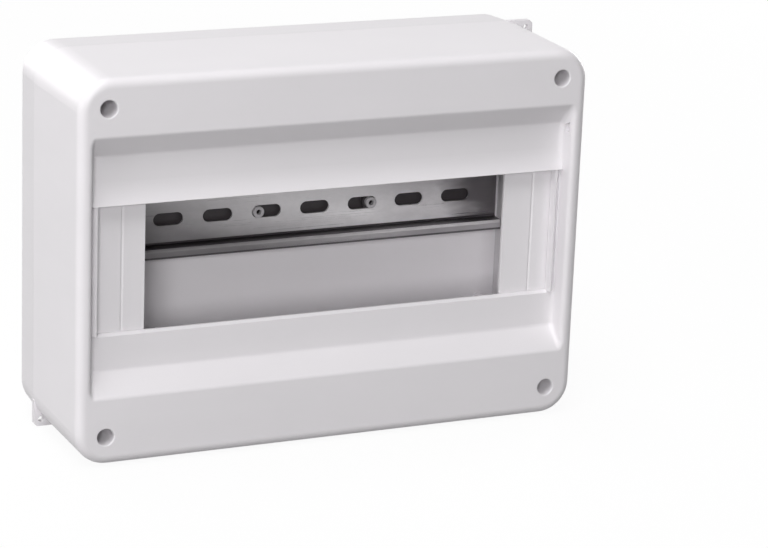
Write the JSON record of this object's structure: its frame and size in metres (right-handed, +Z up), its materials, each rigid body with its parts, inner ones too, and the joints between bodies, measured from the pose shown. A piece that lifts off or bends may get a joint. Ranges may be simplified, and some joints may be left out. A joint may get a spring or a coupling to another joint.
{
  "type": "surface_distribution_board",
  "caption": "White surface-mounted distribution board without a door: tray, deep cover with a wide window, top-hat rail, sliding blanking strips and neutral and earth bars",
  "frame": {"origin": "middle of the flat back face that lies on the wall", "axes": "+X right along the rail, +Y into the wall, +Z up"},
  "size_m": [0.25, 0.084, 0.18],
  "materials": {
    "white_plastic": "satin",
    "zinc_steel": "brushed",
    "screw_plastic": "satin",
    "brass": "satin"
  },
  "bodies": {
    "base": {"base_box": "white_plastic", "din_rail": "zinc_steel", "terminal_carrier": "white_plastic", "terminal_bar_left": "brass", "main_terminal_screw_left": "zinc_steel", "branch_terminal_screws_left": "zinc_steel", "terminal_bar_right": "brass", "main_terminal_screw_right": "zinc_steel", "branch_terminal_screws_right": "zinc_steel"},
    "cover": {"front_cover": "white_plastic"},
    "screw_upper_left": {"cover_screw_upper_left": "screw_plastic"},
    "screw_upper_right": {"cover_screw_upper_right": "screw_plastic"},
    "screw_lower_left": {"cover_screw_lower_left": "screw_plastic"},
    "screw_lower_right": {"cover_screw_lower_right": "screw_plastic"},
    "strip_left": {"blanking_strip_left": "white_plastic"},
    "strip_right": {"blanking_strip_right": "white_plastic"}
  },
  "joints": [
    {"name": "cover_lift_off", "type": "slide", "parent": "base", "child": "cover", "axis": [0, -1, 0], "range_m": [0, 0.09]},
    {"name": "cover_screw_upper_left_turn", "type": "hinge", "parent": "cover", "child": "screw_upper_left", "pos_m": [-0.1103, -0.0415, 0.0755], "axis": [0, 1, 0], "continuous": true},
    {"name": "cover_screw_upper_right_turn", "type": "hinge", "parent": "cover", "child": "screw_upper_right", "pos_m": [0.1103, -0.0415, 0.0755], "axis": [0, 1, 0], "continuous": true},
    {"name": "cover_screw_lower_left_turn", "type": "hinge", "parent": "cover", "child": "screw_lower_left", "pos_m": [-0.1103, -0.0415, -0.0755], "axis": [0, 1, 0], "continuous": true},
    {"name": "cover_screw_lower_right_turn", "type": "hinge", "parent": "cover", "child": "screw_lower_right", "pos_m": [0.1103, -0.0415, -0.0755], "axis": [0, 1, 0], "continuous": true},
    {"name": "blanking_strip_left_slide", "type": "slide", "parent": "cover", "child": "strip_left", "axis": [1, 0, 0], "range_m": [0, 0.0884]},
    {"name": "blanking_strip_right_slide", "type": "slide", "parent": "cover", "child": "strip_right", "axis": [1, 0, 0], "range_m": [-0.0884, 0]}
  ]
}
